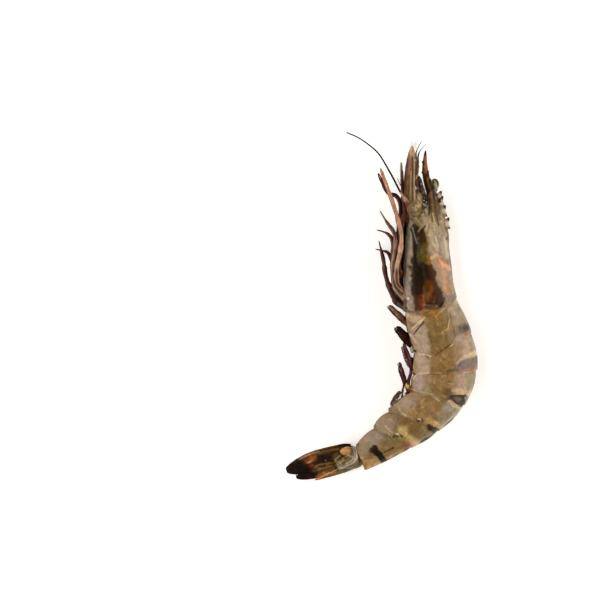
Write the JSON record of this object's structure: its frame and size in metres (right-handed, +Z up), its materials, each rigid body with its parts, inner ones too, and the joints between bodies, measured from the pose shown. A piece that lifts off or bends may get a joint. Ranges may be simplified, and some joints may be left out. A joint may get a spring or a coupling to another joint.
{
  "type": "raw tiger prawn",
  "caption": "Whole raw tiger prawn lying on its side, head on, curled tail with banded shell, saw-toothed beak and folded tail fan.",
  "frame": {"origin": "centre of the bounding box at the ground under the prawn", "axes": "+Z up from the ground, the left side of the animal uppermost; +Y from the tail towards the head; +X towards the back"},
  "size_m": [0.0846, 0.1544, 0.0204],
  "materials": {
    "head_shell": "wet, glossy",
    "shell": "wet, glossy",
    "tail_blade": "wet, glossy",
    "spike_shell": "wet, glossy",
    "leg_shell": "wet, glossy",
    "swimmer_shell": "wet, glossy",
    "eye": "wet, glossy",
    "feeler": "wet, glossy",
    "feeler_scale": "wet, glossy"
  },
  "bodies": {
    "root": {"ring_1": "shell", "ring_2": "shell", "ring_3": "shell", "ring_4": "shell", "ring_5": "shell", "ring_6": "shell", "carapace": "head_shell", "spike": "spike_shell", "uropod_outer_left": "tail_blade", "uropod_inner_left": "tail_blade", "uropod_inner_right": "tail_blade", "uropod_outer_right": "tail_blade", "leg_left_1": "leg_shell", "swimmer_left_1": "swimmer_shell", "leg_left_2": "leg_shell", "swimmer_left_2": "swimmer_shell", "leg_left_3": "leg_shell", "swimmer_left_3": "swimmer_shell", "leg_left_4": "leg_shell", "swimmer_left_4": "swimmer_shell", "leg_left_5": "leg_shell", "swimmer_left_5": "swimmer_shell", "mouth_limb_left": "leg_shell", "feeler_scale_left": "feeler_scale", "small_feeler_left": "feeler", "feeler_left": "feeler", "eye_left": "eye", "leg_right_1": "leg_shell", "swimmer_right_1": "swimmer_shell", "leg_right_2": "leg_shell", "swimmer_right_2": "swimmer_shell", "leg_right_3": "leg_shell", "swimmer_right_3": "swimmer_shell", "leg_right_4": "leg_shell", "swimmer_right_4": "swimmer_shell", "leg_right_5": "leg_shell", "swimmer_right_5": "swimmer_shell", "mouth_limb_right": "leg_shell", "feeler_scale_right": "feeler_scale", "small_feeler_right": "feeler", "feeler_right": "feeler", "eye_right": "eye"}
  },
  "joints": []
}
